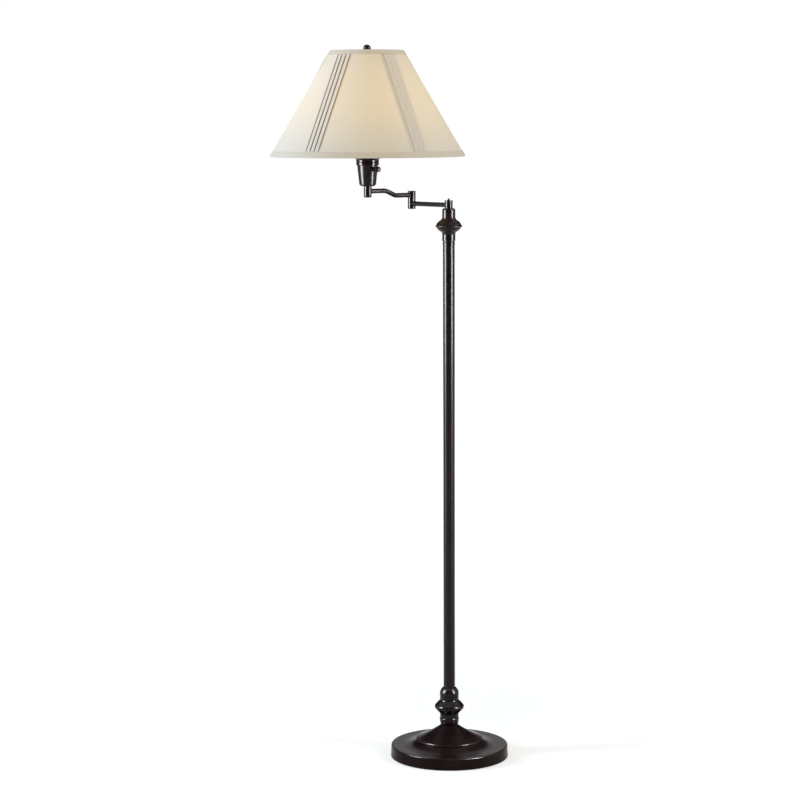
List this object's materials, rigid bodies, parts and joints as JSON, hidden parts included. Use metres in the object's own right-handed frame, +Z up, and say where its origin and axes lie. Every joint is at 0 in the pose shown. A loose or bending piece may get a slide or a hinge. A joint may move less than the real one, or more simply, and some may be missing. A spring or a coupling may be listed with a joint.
{
  "type": "bridge floor lamp",
  "caption": "Floor lamp with a weighted round base, a slim pole, a folding swing arm and a flared cloth shade over an upright lampholder.",
  "frame": {"origin": "centre of the base's underside, on the column's axis", "axes": "+Z up along the column; -Y is the lamp's front; the outer end of the arm and the shade stand off to -X at rest"},
  "size_m": [0.4956, 0.4064, 1.4989],
  "materials": {
    "bronze_finish": "dark oiled bronze, glossy lacquer",
    "zinc_steel": "zinc plated",
    "wire_steel": "nickel plated wire and strip",
    "brass": "plain turned brass",
    "blackened_brass": "blackened",
    "felt": "black felt",
    "cast_weight": "as cast, painted grey",
    "bushing_plastic": "black, matt",
    "knob_plastic": "black, moulded",
    "lampholder": "black phenolic",
    "bulb_cap": "plain",
    "frosted_glass": "white frosted",
    "shade_cloth": "cream woven cloth on a stiff lining",
    "pleated_cloth": "cream cloth, knife pleats",
    "trim_cloth": "cream folded trim"
  },
  "bodies": {
    "column": {"base_pad": "felt", "base_weight": "cast_weight", "base_shell": "bronze_finish", "cord_bushing": "bushing_plastic", "base_washer": "zinc_steel", "base_nut": "zinc_steel", "column_pipe": "zinc_steel", "lower_vase": "bronze_finish", "lower_break": "bronze_finish", "lower_dome": "bronze_finish", "pole_foot_coupling": "zinc_steel", "pole_tube": "bronze_finish", "pole_head_coupling": "zinc_steel", "upper_ring": "bronze_finish", "upper_nipple": "zinc_steel", "upper_break": "bronze_finish", "pivot_post": "brass", "pivot_nut": "zinc_steel", "pivot_washer": "bronze_finish"},
    "lower_arm": {"pivot_sleeve": "bronze_finish", "pivot_cap": "bronze_finish", "lower_arm_tube": "bronze_finish", "lower_elbow_sleeve": "bronze_finish", "elbow_bottom_cap": "bronze_finish", "elbow_pin": "brass", "elbow_nut": "zinc_steel", "elbow_washer": "bronze_finish"},
    "upper_arm": {"upper_elbow_sleeve": "bronze_finish", "elbow_top_cap": "bronze_finish", "upper_arm_tube": "bronze_finish", "socket_stem": "bronze_finish", "stem_end_cap": "bronze_finish", "socket_pipe": "zinc_steel", "cup_shell": "bronze_finish", "cup_collar": "bronze_finish", "cup_nut": "zinc_steel", "harp_saddle": "wire_steel", "harp_ferrule_right": "wire_steel", "harp_ferrule_left": "wire_steel", "harp": "wire_steel", "harp_stud": "wire_steel", "socket_body": "lampholder", "screw_shell": "brass", "centre_contact": "brass", "switch_barrel": "blackened_brass", "switch_nut": "blackened_brass", "bulb_base": "bulb_cap", "bulb_glass": "frosted_glass", "finial": "bronze_finish"},
    "switch": {"switch_shaft": "blackened_brass", "switch_knob": "knob_plastic"},
    "shade": {"shade_cover": "shade_cloth", "bottom_ring": "wire_steel", "spider_fitter": "wire_steel", "bottom_trim": "trim_cloth", "top_trim": "trim_cloth", "pleat_bands": "pleated_cloth"}
  },
  "joints": [
    {"name": "arm_pivot", "type": "hinge", "parent": "column", "child": "lower_arm", "pos_m": [0, 0, 1.1628], "axis": [0, 0, 1], "range_deg": [-170, 170]},
    {"name": "elbow", "type": "hinge", "parent": "lower_arm", "child": "upper_arm", "pos_m": [-0.0762, 0.08613, 1.1767], "axis": [0, 0, 1], "range_deg": [-255, 84]},
    {"name": "switch_turn", "type": "hinge", "parent": "upper_arm", "child": "switch", "pos_m": [-0.1678, 0.0166, 1.2434], "axis": [0.5446, -0.8387, 0], "continuous": true},
    {"name": "shade_swivel", "type": "hinge", "parent": "upper_arm", "child": "shade", "pos_m": [-0.1678, 0.0166, 1.4755], "axis": [0, 0, 1], "continuous": true}
  ]
}
